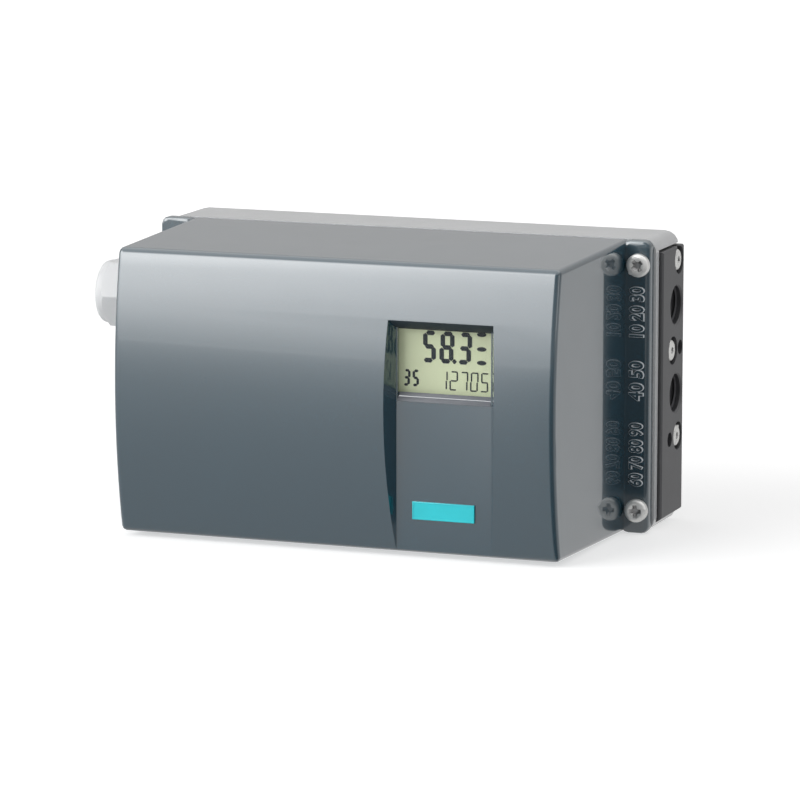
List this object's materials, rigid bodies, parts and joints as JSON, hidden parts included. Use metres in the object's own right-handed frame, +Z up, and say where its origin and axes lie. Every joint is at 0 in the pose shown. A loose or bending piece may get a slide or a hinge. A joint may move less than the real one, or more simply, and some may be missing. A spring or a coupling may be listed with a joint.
{
  "type": "valve positioner",
  "caption": "Electropneumatic valve positioner: moulded housing with display, air connection block, cable gland and rear feedback shaft.",
  "frame": {"origin": "on the rear mounting face, in the middle of its four bracket holes", "axes": "+Y out of the rear mounting face along the feedback shaft, +X towards the air ports, +Z up"},
  "size_m": [0.1985, 0.1103, 0.095],
  "materials": {
    "slate_plastic": "glossy slate grey moulding",
    "charcoal_block": "satin charcoal coating",
    "zinc_screw": "bright zinc plating",
    "steel": "ground steel",
    "white_plastic": "white polyamide",
    "rubber": "black sealing rubber",
    "brass": "plain brass",
    "window": "clear pane",
    "display": "reflective display with dark segments",
    "black_plastic": "black moulding",
    "grey_plastic": "grey moulding",
    "yellow_plastic": "yellow moulding",
    "blue_plastic": "blue moulding",
    "circuit_board": "green solder mask"
  },
  "bodies": {
    "base": {"base_housing": "slate_plastic", "cover_seal": "rubber", "connection_block": "charcoal_block", "block_gasket": "rubber", "block_screw_top": "zinc_screw", "block_screw_middle": "zinc_screw", "block_screw_bottom": "zinc_screw", "exhaust_silencer": "brass", "gland_body": "white_plastic", "gland_insert": "rubber", "gland_washer": "rubber", "blanking_plug": "black_plastic", "plug_washer": "rubber", "shaft_bush": "brass", "potentiometer": "blue_plastic", "sensor_ribbon": "grey_plastic", "valve_block": "grey_plastic", "valve_gasket": "rubber", "valve_screw_left": "zinc_screw", "valve_screw_right": "zinc_screw", "inlet_pilot_valve": "black_plastic", "exhaust_pilot_valve": "black_plastic", "board_pillar_left_top": "brass", "board_pillar_left_bottom": "brass", "board_pillar_right_top": "brass", "board_pillar_right_bottom": "brass", "main_board": "circuit_board", "module_cover": "black_plastic", "module_screw_top": "zinc_screw", "module_screw_bottom": "zinc_screw", "display_frame": "black_plastic", "display_glass": "display", "terminal_pillar_top": "brass", "terminal_pillar_bottom": "brass", "terminal_board": "circuit_board", "terminal_block_top": "grey_plastic", "terminal_block_bottom": "grey_plastic"},
    "cover": {"front_cover": "slate_plastic", "display_window": "window", "cover_screw_right_top": "zinc_screw", "cover_screw_right_bottom": "zinc_screw", "cover_screw_left_top": "zinc_screw", "cover_screw_left_bottom": "zinc_screw"},
    "key_mode": {"key_mode": "grey_plastic"},
    "key_down": {"key_down": "grey_plastic"},
    "key_up": {"key_up": "grey_plastic"},
    "feedback_shaft": {"feedback_shaft": "steel", "shaft_gear": "white_plastic", "clutch_spring": "steel", "circlip": "steel"},
    "clutch_wheel": {"clutch_wheel": "yellow_plastic"},
    "pot_pinion": {"pot_pinion": "brass"},
    "ratio_selector": {"ratio_selector": "yellow_plastic"},
    "purge_selector": {"purge_selector": "black_plastic"},
    "restrictor_screw_upper": {"restrictor_screw_upper": "zinc_screw"},
    "restrictor_screw_lower": {"restrictor_screw_lower": "zinc_screw"},
    "gland_nut": {"gland_nut": "white_plastic"}
  },
  "joints": [
    {"name": "cover_lift", "type": "slide", "parent": "base", "child": "cover", "axis": [0, -1, 0], "range_m": [0, 0.1]},
    {"name": "key_mode_press", "type": "slide", "parent": "base", "child": "key_mode", "axis": [0, 1, 0], "range_m": [0, 0.0012], "stiffness_N_per_m": 400, "springref_m": -0.0005},
    {"name": "key_down_press", "type": "slide", "parent": "base", "child": "key_down", "axis": [0, 1, 0], "range_m": [0, 0.0012], "stiffness_N_per_m": 400, "springref_m": -0.0005},
    {"name": "key_up_press", "type": "slide", "parent": "base", "child": "key_up", "axis": [0, 1, 0], "range_m": [0, 0.0012], "stiffness_N_per_m": 400, "springref_m": -0.0005},
    {"name": "feedback_shaft_turn", "type": "hinge", "parent": "base", "child": "feedback_shaft", "pos_m": [-0.022, 0, 0], "axis": [0, 1, 0], "range_deg": [-50, 50]},
    {"name": "pot_pinion_turn", "type": "hinge", "parent": "base", "child": "pot_pinion", "pos_m": [0.0023, 0, 0], "axis": [0, 1, 0], "range_deg": [-150, 150]},
    {"name": "clutch_wheel_turn", "type": "hinge", "parent": "feedback_shaft", "child": "clutch_wheel", "pos_m": [-0.022, 0, 0], "axis": [0, 1, 0], "continuous": true},
    {"name": "ratio_selector_slide", "type": "slide", "parent": "base", "child": "ratio_selector", "axis": [0, 0, 1], "range_m": [0, 0.006]},
    {"name": "purge_selector_turn", "type": "hinge", "parent": "base", "child": "purge_selector", "pos_m": [0.0196, -0.0288, 0], "axis": [1, 0, 0], "range_deg": [0, 90]},
    {"name": "restrictor_screw_upper_turn", "type": "hinge", "parent": "base", "child": "restrictor_screw_upper", "pos_m": [0.0825, -0.0036, 0.0097], "axis": [1, 0, 0], "range_deg": [0, 450]},
    {"name": "restrictor_screw_lower_turn", "type": "hinge", "parent": "base", "child": "restrictor_screw_lower", "pos_m": [0.0825, -0.0139, -0.0191], "axis": [1, 0, 0], "range_deg": [0, 450]},
    {"name": "gland_nut_turn", "type": "hinge", "parent": "base", "child": "gland_nut", "pos_m": [-0.1128, -0.0134, 0.019], "axis": [-1, 0, 0], "range_deg": [0, 450]}
  ],
  "couplings": [
    {"joint": "pot_pinion_turn", "follows": "feedback_shaft_turn", "ratio": -3}
  ]
}
